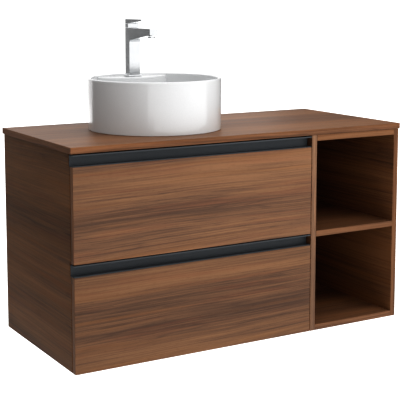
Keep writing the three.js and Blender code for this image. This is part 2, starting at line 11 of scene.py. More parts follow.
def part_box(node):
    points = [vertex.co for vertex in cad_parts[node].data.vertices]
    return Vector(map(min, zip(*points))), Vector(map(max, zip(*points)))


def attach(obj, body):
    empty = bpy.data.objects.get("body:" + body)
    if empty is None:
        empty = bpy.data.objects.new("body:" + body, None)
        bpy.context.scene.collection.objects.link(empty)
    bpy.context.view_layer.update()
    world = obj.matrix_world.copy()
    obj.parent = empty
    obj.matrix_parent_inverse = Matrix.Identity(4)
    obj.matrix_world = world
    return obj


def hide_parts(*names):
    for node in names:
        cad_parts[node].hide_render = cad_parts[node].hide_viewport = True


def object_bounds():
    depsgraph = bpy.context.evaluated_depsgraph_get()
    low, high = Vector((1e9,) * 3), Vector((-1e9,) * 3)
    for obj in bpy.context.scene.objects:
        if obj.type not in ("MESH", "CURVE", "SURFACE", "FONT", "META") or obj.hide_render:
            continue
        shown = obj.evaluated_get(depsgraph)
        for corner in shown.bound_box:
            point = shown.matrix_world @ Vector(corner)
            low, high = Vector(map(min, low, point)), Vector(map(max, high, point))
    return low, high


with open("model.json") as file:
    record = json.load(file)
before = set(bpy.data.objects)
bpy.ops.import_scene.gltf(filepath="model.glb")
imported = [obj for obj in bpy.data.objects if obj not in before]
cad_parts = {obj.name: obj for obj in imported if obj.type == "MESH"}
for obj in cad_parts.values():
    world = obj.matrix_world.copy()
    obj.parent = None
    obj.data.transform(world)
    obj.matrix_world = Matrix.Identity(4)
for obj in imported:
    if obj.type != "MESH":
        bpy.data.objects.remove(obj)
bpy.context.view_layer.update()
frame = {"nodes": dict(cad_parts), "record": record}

BODY_OF = {node: body for body, nodes in frame["record"]["behaviour"]["bodies"].items() for node in nodes}
SLOT_OF = {part["node"]: part["material_slot"] for part in frame["record"]["subparts"]}
MM = 0.001


# ---------------------------------------------------------------- camera

LENS_MM = 98.12
SENSOR_MM = 36
SHIFT_UP = -0.175
CAMERA_SPOT = (-1.5294, -2.8145, 0.4235)
CAMERA_TURN = -30.36
CAMERA_DIP = 7.037


def add_camera():
    """A long lens, left of the cabinet and a little above the worktop."""
    data = bpy.data.cameras.new("camera")
    data.sensor_width = SENSOR_MM
    data.lens = LENS_MM
    data.shift_y = SHIFT_UP
    camera = bpy.data.objects.new("camera", data)
    camera.location = CAMERA_SPOT
    camera.rotation_euler = (math.radians(90 - CAMERA_DIP), 0, math.radians(CAMERA_TURN))
    bpy.context.scene.collection.objects.link(camera)
    bpy.context.scene.camera = camera


# ---------------------------------------------------------------- material helpers

class Surface:
    """A material whose nodes are added one call at a time."""

    def __init__(self, name, **settings):
        self.material = bpy.data.materials.new(name)
        self.material.use_nodes = True
        self.tree = self.material.node_tree
        self.tree.nodes.clear()
        self.shader = self.add("ShaderNodeBsdfPrincipled", settings)
        output = self.add("ShaderNodeOutputMaterial")
        self.tree.links.new(self.shader.outputs[0], output.inputs["Surface"])

    def add(self, kind, inputs=None, **properties):
        node = self.tree.nodes.new(kind)
        for key, value in properties.items():
            setattr(node, key, value)
        for key, value in (inputs or {}).items():
            self.feed(node.inputs[key], value)
        return node

    def feed(self, socket, value):
        """Links a socket, or sets it; a colour of three numbers gets its alpha."""
        if isinstance(value, bpy.types.NodeSocket):
            self.tree.links.new(value, socket)
        elif isinstance(value, tuple) and len(value) == 3 and socket.type == "RGBA":
            socket.default_value = (*value, 1)
        else:
            socket.default_value = value

    def set(self, **inputs):
        """Feeds the shader's inputs, named with _ for a space."""
        for key, value in inputs.items():
            self.feed(self.shader.inputs[key.replace("_", " ")], value)

    def place(self, scale=(1, 1, 1)):
        """The point on the object, in metres, stretched by scale."""
        return self.scaled(self.add("ShaderNodeTexCoord").outputs["Object"], scale)

    def scaled(self, vector, scale):
        return self.add("ShaderNodeVectorMath", {0: vector, 1: scale}, operation="MULTIPLY").outputs[0]

    def moved(self, vector, offset):
        return self.add("ShaderNodeVectorMath", {0: vector, 1: offset}, operation="ADD").outputs[0]

    def noise(self, vector, scale=1.0, detail=3.0, roughness=0.5):
        inputs = {"Vector": vector, "Scale": scale, "Detail": detail, "Roughness": roughness}
        return self.add("ShaderNodeTexNoise", inputs).outputs["Fac"]

    def math(self, operation, first, second=0.0):
        return self.add("ShaderNodeMath", {0: first, 1: second}, operation=operation).outputs[0]

    def times(self, first, second):
        return self.math("MULTIPLY", first, second)

    def span(self, value, low, high, to_low=0.0, to_high=1.0):
        """Eases value from one range to another."""
        inputs = {"Value": value, "From Min": low, "From Max": high, "To Min": to_low, "To Max": to_high}
        return self.add("ShaderNodeMapRange", inputs, interpolation_type="SMOOTHSTEP").outputs["Result"]

    def ramp(self, value, stops):
        """Turns a value into a colour; stops are (position, colour) pairs."""
        node = self.add("ShaderNodeValToRGB", {"Fac": value})
        elements = node.color_ramp.elements
        while len(elements) < len(stops):
            elements.new(0.5)
        for element, (position, colour) in zip(elements, stops):
            element.position = position
            element.color = (*colour, 1)
        return node.outputs["Color"]

    def blended(self, factor, first, second):
        inputs = {"Factor": factor, "A": first, "B": second}
        node = self.tree.nodes.new("ShaderNodeMix")
        node.data_type = "RGBA"
        for socket in node.inputs:
            if socket.name in inputs and socket.enabled:
                self.feed(socket, inputs[socket.name])
        return next(socket for socket in node.outputs if socket.enabled)

    def bump(self, height, distance, strength):
        inputs = {"Height": height, "Distance": distance, "Strength": strength}
        return self.add("ShaderNodeBump", inputs).outputs["Normal"]


def srgb(red, green, blue):
    """Linear colour from 0-255 values."""
    def linear(value):
        share = value / 255
        return share / 12.92 if share <= 0.04045 else ((share + 0.055) / 1.055) ** 2.4
    return tuple(linear(value) for value in (red, green, blue))


# ---------------------------------------------------------------- materials

SWAY = 0.045
RINGS = 9.0
HEART_SHARE, STREAK_SHARE, FIBRE_SHARE, VEIN_SHARE = 0.34, 0.30, 0.36, 0.03
GLOW_SHARE, BLUSH_SHARE, PORE_SHARE = 0.4, 0.25, 0.35
BLUSH = srgb(128, 83, 63)
PORE = srgb(46, 28, 18)


def walnut(name, tones, warmth, gloss):
    """Walnut-effect laminate. The grain attribute is (along, across, depth) in metres; the shade attribute is
    a per-board tint of painted light and shade.
    """
    s = Surface(name, **{"Specular IOR Level": gloss})
    grain = s.add("ShaderNodeAttribute", attribute_name="grain").outputs["Vector"]

    sway = s.noise(s.scaled(grain, (1.0, 2.4, 2.4)), 1, 2)
    shift = s.times(s.math("SUBTRACT", sway, 0.5), SWAY)
    drift = s.moved(grain, s.add("ShaderNodeCombineXYZ", {"Y": shift}).outputs[0])

    def strand(along, across, detail, roughness=0.5):
        """Noise drawn out along the grain; along and across are its scales per metre."""
        return s.noise(s.scaled(drift, (along, across, across)), 1, detail, roughness)

    heart = strand(0.55, 10, 3, 0.6)
    streak = strand(1.3, 130, 6, 0.8)
    fibre = strand(3, 240, 4, 0.75)
    ridge = s.math("ABSOLUTE", s.math("SUBTRACT", s.math("FRACT", s.times(strand(1.1, 17, 3), RINGS)), 0.5))
    vein = s.times(s.span(ridge, 0.36, 0.5), s.span(heart, 0.62, 0.42))

    level = s.math("ADD", s.times(heart, HEART_SHARE), s.times(streak, STREAK_SHARE))
    level = s.math("ADD", level, s.times(fibre, FIBRE_SHARE))
    level = s.math("SUBTRACT", level, s.times(vein, VEIN_SHARE))
    glow = s.span(strand(0.9, 36, 4), 0.52, 0.68)
    blush = s.span(strand(2.0, 55, 5, 0.7), 0.50, 0.66)
    pores = s.span(strand(60, 1500, 2), 0.60, 0.72)

    colour = s.ramp(s.span(level, 0.385, 0.605), tones)
    layers = ((glow, GLOW_SHARE, warmth), (blush, BLUSH_SHARE, BLUSH), (pores, PORE_SHARE, PORE))
    for amount, share, tone in layers:
        colour = s.blended(s.times(amount, share), colour, tone)
    # Painted light and shade: each board's colour is scaled by its own shade tint.
    colour = s.scaled(colour, s.add("ShaderNodeAttribute", attribute_name="shade").outputs["Vector"])
    s.set(Base_Color=colour, Roughness=s.span(streak, 0.3, 0.7, 0.40, 0.52))
    relief = s.math("SUBTRACT", s.times(fibre, 0.4), pores)
    s.set(Normal=s.bump(relief, 0.00006, 0.6))
    return s.material


def laminate(name, pale, deep):
    """Plain grey drawer laminate with a faint woven print."""
    s = Surface(name)
    along = s.noise(s.place((40, 900, 900)), 1, 2)
    athwart = s.noise(s.place((900, 40, 900)), 1, 2)
    weave = s.times(s.math("ADD", along, athwart), 0.5)
    cloud = s.noise(s.place(), 9, 3)
    tone = s.math("ADD", s.times(weave, 0.7), s.times(cloud, 0.3))
    s.set(Base_Color=s.ramp(tone, [(0.35, deep), (0.65, pale)]))
    s.set(Roughness=s.span(cloud, 0.3, 0.7, 0.55, 0.68), Normal=s.bump(weave, 0.00004, 0.5))
    return s.material


def powder_coat(name, deep, pale):
    """Anthracite powder coat: fine orange peel and a few brighter flecks."""
    s = Surface(name, **{"Specular IOR Level": 0.15})
    peel = s.noise(s.place(), 1400, 2)
    fleck = s.span(s.noise(s.place(), 3800, 1), 0.62, 0.75)
    cloud = s.noise(s.place((3, 30, 30)), 1, 3)
    colour = s.ramp(cloud, [(0.3, deep), (0.7, pale)])
    colour = s.blended(s.times(fleck, 0.25), colour, srgb(120, 124, 128))
    s.set(Base_Color=colour, Roughness=s.span(cloud, 0.3, 0.7, 0.42, 0.54))
    s.set(Normal=s.bump(peel, 0.00005, 0.5))
    return s.material


def polished(name):
    """Polished chrome with faint wipe marks."""
    s = Surface(name, Metallic=1.0)
    wipe = s.noise(s.place((60, 60, 240)), 1, 3)
    haze = s.noise(s.place(), 35, 3)
    s.set(Base_Color=s.ramp(haze, [(0.3, (0.69, 0.70, 0.71)), (0.7, (0.74, 0.75, 0.76))]))
    s.set(Roughness=s.span(wipe, 0.35, 0.75, 0.12, 0.17), Normal=s.bump(haze, 0.00003, 0.2))
    return s.material


def zinc(name):
    """Zinc-plated sheet steel: brushed along Y, with crystal blotches."""
    s = Surface(name, Metallic=0.9)
    brush = s.noise(s.place((1500, 12, 1500)), 1, 3)
    spangle = s.add("ShaderNodeTexVoronoi", {"Vector": s.place(), "Scale": 260.0}).outputs["Color"]
    tone = s.math("ADD", s.times(brush, 0.6), s.times(spangle, 0.25))
    s.set(Base_Color=s.ramp(tone, [(0.25, (0.40, 0.41, 0.43)), (0.65, (0.62, 0.63, 0.64))]))
    s.set(Roughness=s.span(brush, 0.3, 0.7, 0.28, 0.45), Normal=s.bump(brush, 0.00003, 0.4))
    return s.material


def glaze(name):
    """White glazed ceramic, its gloss a touch uneven."""
    s = Surface(name, **{"Coat Weight": 0.6, "Coat Roughness": 0.04, "Specular IOR Level": 0.5})
    ripple = s.noise(s.place(), 11, 2)
    speck = s.noise(s.place(), 420, 2)
    s.set(Base_Color=s.ramp(speck, [(0.3, (0.655, 0.66, 0.665)), (0.7, (0.685, 0.69, 0.695))]))
    s.set(Roughness=s.span(speck, 0.3, 0.7, 0.12, 0.17), Normal=s.bump(ripple, 0.0004, 0.15))
    return s.material


def moulded(name, pale, deep, rough):
    """Moulded plastic or rubber with a fine spark-eroded grain."""
    s = Surface(name)
    spark = s.noise(s.place(), 2600, 3)
    cloud = s.noise(s.place(), 60, 2)
    s.set(Base_Color=s.ramp(cloud, [(0.3, deep), (0.7, pale)]))
    s.set(Roughness=s.span(spark, 0.3, 0.7, rough, rough + 0.1), Normal=s.bump(spark, 0.00008, 0.5))
    return s.material


FACE_TONES = [
    (0.0, srgb(86, 68, 58)),
    (0.38, srgb(111, 85, 68)),
    (0.65, srgb(121, 92, 71)),
    (1.0, srgb(136, 103, 78)),
]
BAND_TONES = [(0.0, srgb(82, 62, 50)), (0.5, srgb(114, 85, 66)), (1.0, srgb(140, 106, 81))]
WARMTH = srgb(130, 92, 63)
BAND_WARMTH = srgb(138, 94, 62)
MATERIALS = {
    "walnut": walnut("walnut", FACE_TONES, WARMTH, 0.06),
    "walnut_top": walnut("walnut_top", FACE_TONES, WARMTH, 0.12),
    "walnut_band": walnut("walnut_band", BAND_TONES, BAND_WARMTH, 0.1),
    "drawer_board": laminate("drawer_board", srgb(150, 148, 143), srgb(132, 130, 126)),
    "anthracite": powder_coat("anthracite", srgb(66, 69, 72), srgb(75, 78, 81)),
    "runner_steel": zinc("runner_steel"),
    "chrome": polished("chrome"),
    "ceramic": glaze("ceramic"),
    "rubber": moulded("rubber", srgb(46, 46, 48), srgb(36, 36, 38), 0.65),
    "plastic": moulded("plastic", srgb(232, 231, 226), srgb(222, 221, 216), 0.35),
}


# ---------------------------------------------------------------- mesh helpers

SHARP_ANGLE = 38


def new_piece(name, bm, materials, sharp):
    """Turns a bmesh into a smooth-shaded object, sharp where it turns by more than that many degrees."""
    mesh = bpy.data.meshes.new(name)
    bmesh.ops.recalc_face_normals(bm, faces=bm.faces)
    bm.to_mesh(mesh)
    bm.free()
    mesh.polygons.foreach_set("use_smooth", [True] * len(mesh.polygons))
    mesh.set_sharp_from_angle(angle=math.radians(sharp))
    for material in materials:
        mesh.materials.append(MATERIALS[material])
    piece = bpy.data.objects.new(name, mesh)
    bpy.context.scene.collection.objects.link(piece)
    return piece


def finished(name, bm, materials, nodes, sharp=SHARP_ANGLE):
    """A piece that stands for CAD nodes and rides on their body."""
    piece = new_piece(name, bm, materials, sharp)
    normals = piece.modifiers.new("flat faces", "WEIGHTED_NORMAL")
    normals.keep_sharp = True
    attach(piece, BODY_OF[nodes[0]])
    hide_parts(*nodes)


def solid_of(node):
    """A CAD node as a bmesh, its coplanar triangles merged into faces."""
    bm = bmesh.new()
    bm.from_mesh(frame["nodes"][node].data)
    bmesh.ops.remove_doubles(bm, verts=bm.verts, dist=2e-6)
    bmesh.ops.dissolve_limit(bm, angle_limit=math.radians(0.6), verts=bm.verts, edges=bm.edges)
    return bm


def round_edges(bm, width, segments=2, least=25):
    """Rounds every edge that turns by more than least degrees."""
    edges = [e for e in bm.edges if e.is_manifold and e.calc_face_angle(0) > math.radians(least)]
    bmesh.ops.bevel(
        bm, geom=edges, offset=width, offset_type="OFFSET", segments=segments, profile=0.5,
        affect="EDGES", clamp_overlap=True,
    )


def ring(bm, points):
    return [bm.verts.new(point) for point in points]


def bridge(bm, first, second):
    count = len(first)
    for i in range(count):
        j = (i + 1) % count
        bm.faces.new((first[i], first[j], second[j], second[i]))


def lathe(bm, profile, centre, base=0.0, steps=48, axis="Z"):
    """Turns [radius, height] pairs about an upright axis, or about Y; a radius of 0 closes an end."""
    turn = Matrix.Identity(3) if axis == "Z" else Matrix.Rotation(math.radians(-90), 3, "X")
    loops = []
    for radius, height in profile:
        if radius <= 0:
            loops.append([bm.verts.new(Vector(centre) + turn @ Vector((0, 0, base + height)))])
            continue
        angles = [2 * math.pi * k / steps for k in range(steps)]
        spots = [Vector((radius * math.cos(a), radius * math.sin(a), base + height)) for a in angles]
        loops.append(ring(bm, [Vector(centre) + turn @ spot for spot in spots]))
    for low, high in zip(loops, loops[1:]):
        if len(low) == 1:
            for i in range(steps):
                bm.faces.new((low[0], high[(i + 1) % steps], high[i]))
        elif len(high) == 1:
            for i in range(steps):
                bm.faces.new((low[i], low[(i + 1) % steps], high[0]))
        else:
            bridge(bm, low, high)


def centre_of(node):
    low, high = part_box(node)
    return (low + high) / 2


# ---------------------------------------------------------------- boards

SEED_STEP = (3.17, 1.31, 0.77)
LEAST_FACE = 4e-4


def extent(bm):
    """The mesh's size along X, Y and Z, and the axis on which it is thinnest."""
    size = [max(v.co[k] for v in bm.verts) - min(v.co[k] for v in bm.verts) for k in range(3)]
    return size, min(range(3), key=lambda k: size[k])


def lay_grain(bm, grain_axis, seed, tilt, shade, band_shade):
    """Writes each face corner's place along, across and below the grain, and its painted light-and-shade
    tint, and picks face or band.
    """
    layer = bm.loops.layers.float_vector.new("grain")
    shades = bm.loops.layers.float_vector.new("shade")
    size, thin = extent(bm)
    start = Vector([seed * step for step in SEED_STEP])
    for face in bm.faces:
        normal = face.normal
        out = max(range(3), key=lambda k: abs(normal[k]))
        others = [k for k in range(3) if k != out]
        along = grain_axis if grain_axis != out else max(others, key=lambda k: size[k])
        across = next(k for k in others if k != along)
        face.material_index = 0 if out == thin and face.calc_area() > LEAST_FACE and not face.tag else 1
        for loop in face.loops:
            spot = loop.vert.co
            run = spot[along]
            loop[layer] = start + Vector((run, spot[across] - tilt * run, spot[out]))
            loop[shades] = Vector(band_shade if face.material_index else shade)


# Tints of single boards (red, green, blue); PLAIN leaves a board as it is, and the others are painted light
# and shade. They stand in for light that the studio doesn't give. The left side, the lower front and the
# niche boards are darkened as painted shade, the shelf most and the niche floor least. The upper front and
# the divider's edge bands are lightened as painted light. The worktop is warmed and lightened a little,
# partly its own warmer tone and partly painted light on its top.
PLAIN = (1, 1, 1)
UPPER_FRONT_LIGHT = (1.12, 1.12, 1.12)
WORKTOP_TONE_AND_LIGHT = (1.03, 0.96, 0.88)
LOWER_FRONT_SHADE = (0.97, 0.97, 0.97)
SHADED = (0.95, 0.87, 0.74)
NICHE_SHADE = (0.88, 0.80, 0.70)
DARK_NICHE = (0.80, 0.74, 0.68)
LIT_NICHE = (0.96, 0.90, 0.83)
EDGE_BAND_LIGHT = (1.6, 1.7, 1.7)


def frame_faces(bm, width):
    """Insets the two large faces, so that the edge band shows round them."""
    thin = extent(bm)[1]
    large = [f for f in bm.faces if abs(f.normal[thin]) > 0.99 and f.calc_area() > 0.01]
    rims = set(bmesh.ops.inset_individual(bm, faces=large, thickness=width, depth=0)["faces"])
    for face in bm.faces:
        face.tag = face in rims


def add_board(
    node, grain_axis, seed, radius=0.9 * MM, band=0.9 * MM, tilt=0.0,
    shade=PLAIN, band_shade=None, face="walnut",
):
    """A CAD board with rounded edges, an edge band where band isn't 0, its grain laid along one axis, and
    painted light and shade from its shade and band_shade tints.
    """
    bm = solid_of(node)
    round_edges(bm, radius, 3, 45)
    if band:
        frame_faces(bm, band)
    lay_grain(bm, grain_axis, seed, tilt, shade, band_shade or shade)
    finished(f"{node}_board", bm, [face, "walnut_band"], [node])


def add_plain(node, radius=0.5 * MM, segments=2, least=25):
    """A CAD shape with its edges eased."""
    bm = solid_of(node)
    round_edges(bm, radius, segments, least)
    finished(f"{node}_eased", bm, [SLOT_OF[node]], [node])


X_GRAIN, Y_GRAIN = 0, 1


def add_boards():
    # Painted light and shade: each board with a tint other than PLAIN is lightened or darkened to stand in
    # for light, as listed with the tints.
    add_board("countertop", X_GRAIN, 4, 0.8 * MM, 0, shade=WORKTOP_TONE_AND_LIGHT, face="walnut_top")
    add_board("left_side_panel", Y_GRAIN, 10, shade=SHADED)
    add_board("divider_panel", Y_GRAIN, 9, shade=NICHE_SHADE, band_shade=EDGE_BAND_LIGHT)
    add_board("right_side_panel", Y_GRAIN, 12, shade=NICHE_SHADE)
    add_board("upper_drawer_front", X_GRAIN, 93, tilt=0.02, shade=UPPER_FRONT_LIGHT)
    add_board("lower_drawer_front", X_GRAIN, 203, tilt=0.01, shade=LOWER_FRONT_SHADE)
    add_board("bay_bottom_panel", X_GRAIN, 5)
    add_board("front_top_rail", X_GRAIN, 6)
    add_board("rear_top_rail", X_GRAIN, 8, band=0)
    add_board("rear_bottom_rail", X_GRAIN, 10)
    add_board("niche_top_panel", X_GRAIN, 11, shade=NICHE_SHADE)
    add_board("niche_shelf", X_GRAIN, 13, shade=DARK_NICHE)
    add_board("niche_bottom_panel", X_GRAIN, 14, shade=LIT_NICHE)
    add_board("niche_back_panel", X_GRAIN, 16, shade=NICHE_SHADE)
    add_board("niche_hanging_rail", X_GRAIN, 17, band=0)


# ---------------------------------------------------------------- basin

# Millimetres, measured from the basin's axis or up from its foot.
RIM = 4.0
EDGE = 4.5
LEDGE_DROP = 5.0
LEDGE_FRONT = 92.0
LEDGE_ARC = 162.0
WALL = 8.0
CORNER = 42.0
LEDGE_CORNER = 20.0
FLOOR = 32.0
FLOOR_RISE = 6.0
HOLE = 23.0
FOOT = 15.0
UNDERSIDE = 20.0

LEDGE_STEPS = 48
WALL_STEPS = 92
TIP_SPREAD = math.radians(11)
TIP_REACH = math.radians(45)
TIP_CROWDING = 1.35


def ease(value):
    """Runs smoothly from 0 to 1, and stays there on either side."""
    t = min(max(value, 0.0), 1.0)
    return t * t * (3 - 2 * t)


def polar(radius, angle):
    return Vector((radius * math.sin(angle), radius * math.cos(angle)))


def inner_columns(inner):
    """For each column: its points on the rim, lip, wall and floor edge, and its share of the ledge's edge."""
    back = LEDGE_FRONT + LEDGE_ARC
    cosine = (inner**2 + back**2 - LEDGE_ARC**2) / (2 * inner * back)
    tip_angle = math.acos(cosine)
    tip = polar(inner, tip_angle)
    arc_tip = math.atan2(tip.x, back - tip.y)
    floor_edge = inner - CORNER
    columns = []
    for k in range(LEDGE_STEPS + 1):
        share = 2 * k / LEDGE_STEPS - 1
        bent = math.copysign(1 - (1 - abs(share)) ** TIP_CROWDING, share)
        arc = arc_tip * bent
        heading = Vector((math.sin(arc), -math.cos(arc)))
        wall = Vector((0, back)) + LEDGE_ARC * heading
        edge = ease((1 - abs(bent)) * 7)
        foot = wall + LEDGE_CORNER * heading
        if foot.length > floor_edge:
            foot *= floor_edge / foot.length
        corner = polar(floor_edge, math.copysign(tip_angle + TIP_SPREAD, bent))
        fade = ease((1 - abs(bent)) * 4)
        foot = corner.lerp(foot, fade)
        lip = wall - heading * EDGE * edge
        columns.append((polar(inner, tip_angle * bent), lip, wall, foot, edge))
    for k in range(1, WALL_STEPS):
        angle = tip_angle + (2 * math.pi - 2 * tip_angle) * k / WALL_STEPS
        near = min(angle - tip_angle, 2 * math.pi - tip_angle - angle)
        pull = TIP_SPREAD * (1 - ease(near / TIP_REACH))
        side = 1 if angle < math.pi else -1
        wall = polar(inner, angle)
        columns.append((wall, wall, wall, polar(floor_edge, angle + side * pull), 0.0))
    return columns


def basin_rows(column, radius, height):
    """One upright section of the basin, from its foot's outside over the rim to its foot's inside."""
    rim_spot, lip, wall, foot, edge = column
    heading = rim_spot.normalized()
    inner = radius - WALL
    rim_base = height - RIM
    ledge = height - LEDGE_DROP
    rows = [(heading * (radius - 1.2), 0.0), (heading * (radius - 0.3), 0.4), (heading * radius, 1.4)]
    rows += [(heading * radius, rim_base * k / 6) for k in range(1, 6)]
    for k in range(13):
        t = math.pi * k / 12
        rows.append((heading * (radius - RIM + RIM * math.cos(t)), rim_base + RIM * math.sin(t)))

    soft = 1.0 * edge
    start = rim_spot - heading * soft
    for k in range(1, 5):
        t = math.pi / 2 * k / 4
        inset = soft * (1 - math.cos(t))
        rows.append((rim_spot - heading * inset, rim_base + (ledge - rim_base) * math.sin(t)))
    for k in range(1, 9):
        rows.append((start.lerp(lip, k / 9), ledge))
    depth = EDGE * edge
    for k in range(0, 7):
        t = math.pi / 2 * k / 6
        rows.append((lip.lerp(wall, math.sin(t)), ledge - depth * (1 - math.cos(t))))

    floor_at = FLOOR + FLOOR_RISE * (foot.length - HOLE) / (inner - CORNER - HOLE)
    reach = (foot - wall).length
    corner_top = floor_at + min(reach, CORNER)
    wall_top = ledge - depth
    for k in range(1, 7):
        rows.append((wall, wall_top + (corner_top - wall_top) * k / 7))
    for k in range(0, 11):
        t = math.pi / 2 * k / 10
        height_left = (corner_top - floor_at) * (1 - math.sin(t))
        rows.append((wall.lerp(foot, 1 - math.cos(t)), floor_at + height_left))
    bearing = foot.normalized()
    for k in range(1, 8):
        near = foot.length + (HOLE + 3 - foot.length) * k / 7
        level = FLOOR + (floor_at - FLOOR) * (near - HOLE) / (foot.length - HOLE)
        spot = foot.lerp(heading * foot.length, ease(k / 7))
        rows.append((spot.normalized() * near, level))
    rows.append((heading * (HOLE + 0.8), FLOOR - 0.6))
    rows.append((heading * HOLE, FLOOR - 2.6))
    rows.append((heading * HOLE, UNDERSIDE))
    rows += [(heading * (HOLE + (radius - FOOT - 3 - HOLE) * k / 3), UNDERSIDE) for k in range(1, 4)]
    rows.append((heading * (radius - FOOT), UNDERSIDE - 3))
    rows.append((heading * (radius - FOOT), 1.0))
    rows.append((heading * (radius - FOOT + 1), 0.0))
    return rows


def add_basin():
    low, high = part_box("basin")
    centre = centre_of("basin")
    radius = (high.x - low.x) / 2 / MM
    height = (high.z - low.z) / MM
    bm = bmesh.new()
    loops = []
    for column in inner_columns(radius - WALL):
        rows = basin_rows(column, radius, height)
        loops.append(ring(bm, [(centre.x + p.x * MM, centre.y + p.y * MM, low.z + z * MM) for p, z in rows]))
    for first, second in zip(loops, loops[1:] + loops[:1]):
        bridge(bm, first, second)
    bmesh.ops.remove_doubles(bm, verts=bm.verts, dist=4e-6)
    bmesh.ops.dissolve_degenerate(bm, edges=bm.edges, dist=2e-6)
    finished("basin_glazed", bm, ["ceramic"], ["basin"], sharp=50)


# ---------------------------------------------------------------- turned fittings

def threads(low, high, radius, pitch=1.5, depth=0.7):
    """Profile points of a threaded stretch, from low to high."""
    count = max(2, int((high - low) / pitch))
    step = (high - low) / count
    points = []
    for k in range(count):
        points += [(radius - depth, low + k * step), (radius, low + (k + 0.5) * step)]
    return points + [(radius - depth, high)]


def rounded(radius, low, high, soft, top=True):
    """Profile points of a plain stretch, its low end rounded by soft, and its high end too if top."""
    near = radius - 0.3 * soft
    points = [(radius - soft, low), (near, low + 0.3 * soft), (radius, low + soft)]
    if top:
        return points + [(radius, high - soft), (near, high - 0.3 * soft), (radius - soft, high)]
    return points + [(radius, high)]


def turned_piece(name, node, profile, steps=64, axis="Z", extra=None):
    """A turned piece on a node's own axis; its profile is in millimetres from the node's low end."""
    low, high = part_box(node)
    middle = (low + high) / 2
    if axis == "Z":
        centre, base = (middle.x, middle.y, 0), low.z
    else:
        centre, base = (middle.x, low.y, middle.z), 0
    bm = bmesh.new()
    lathe(bm, [(r * MM, h * MM) for r, h in profile], centre, base, steps, axis)
    if extra:
        extra(bm, low, high)
    finished(name, bm, [SLOT_OF[node]], [node])


def size_of(node):
    """A node's size in millimetres."""
    low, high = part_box(node)
    return (high - low) / MM


def add_box(bm, low, high, soft=0.0):
    """A box between two corners, its edges eased by soft."""
    part = bmesh.new()
    corners = [
        part.verts.new((x, y, z))
        for z in (low[2], high[2])
        for y in (low[1], high[1])
        for x in (low[0], high[0])
    ]
    for face in ((0, 2, 3, 1), (4, 5, 7, 6), (0, 1, 5, 4), (2, 6, 7, 3), (0, 4, 6, 2), (1, 3, 7, 5)):
        part.faces.new([corners[k] for k in face])
    if soft:
        round_edges(part, soft)
    scratch = bpy.data.meshes.new("scratch")
    part.to_mesh(scratch)
    part.free()
    bm.from_mesh(scratch)
    bpy.data.meshes.remove(scratch)


def add_waste_fittings():
    size = size_of("waste_plug")
    stem, top = 6.0, size.z
    head = top - 5.7
    plug = [(0, 0)] + rounded(stem, 0, head, 0.8, top=False)[0:3] + threads(6, head - 6, stem, 1.6, 0.5)
    plug += [(stem, head), (26.5, head), (27, head + 0.6), (29.2, head + 0.6), (30, head + 1.4)]
    plug += [(30, head + 2.2), (29.4, head + 3.1), (28.4, head + 3.6), (27.6, head + 3.5), (27.2, head + 3.7)]
    plug += [(27.2 * math.cos(t), head + 3.7 + 2.0 * math.sin(t)) for t in (0.2, 0.45, 0.75, 1.05, 1.35)]
    plug += [(0, top)]
    turned_piece("waste_plug_domed", "waste_plug", plug)

    size = size_of("waste_body")
    height, flange = size.z, 33.0
    seat = height - 2.5
    body = threads(2, 66, 20, 2.0, 0.9) + [(20, 68), (20, seat - 1), (31, seat), (32.4, seat + 0.1)]
    body += [(33, seat + 0.9), (32.6, seat + 1.8), (31.4, height - 0.1), (30, height), (22, height - 0.6)]
    body += [(17.4, height - 2.2), (16.5, height - 4), (16.5, 0.6), (17.0, 0), (18.6, 0), (19.1, 2)]
    turned_piece("waste_body_threaded", "waste_body", body + [body[0]])

    size = size_of("waste_gasket")
    inner, outer, thick = 20.3, size.x / 2, size.z
    seal = [(inner, 0.3), (inner + 0.4, 0), (outer - 1, 0), (outer, 0.8)]
    seal += [(outer, thick - 0.8), (outer - 1, thick), (27, thick), (26.5, thick - 0.5)]
    seal += [(25.5, thick - 0.5), (25, thick), (inner + 0.4, thick), (inner, 2.6)]
    turned_piece("waste_gasket_ribbed", "waste_gasket", seal + [seal[0]])


RIBS = 24


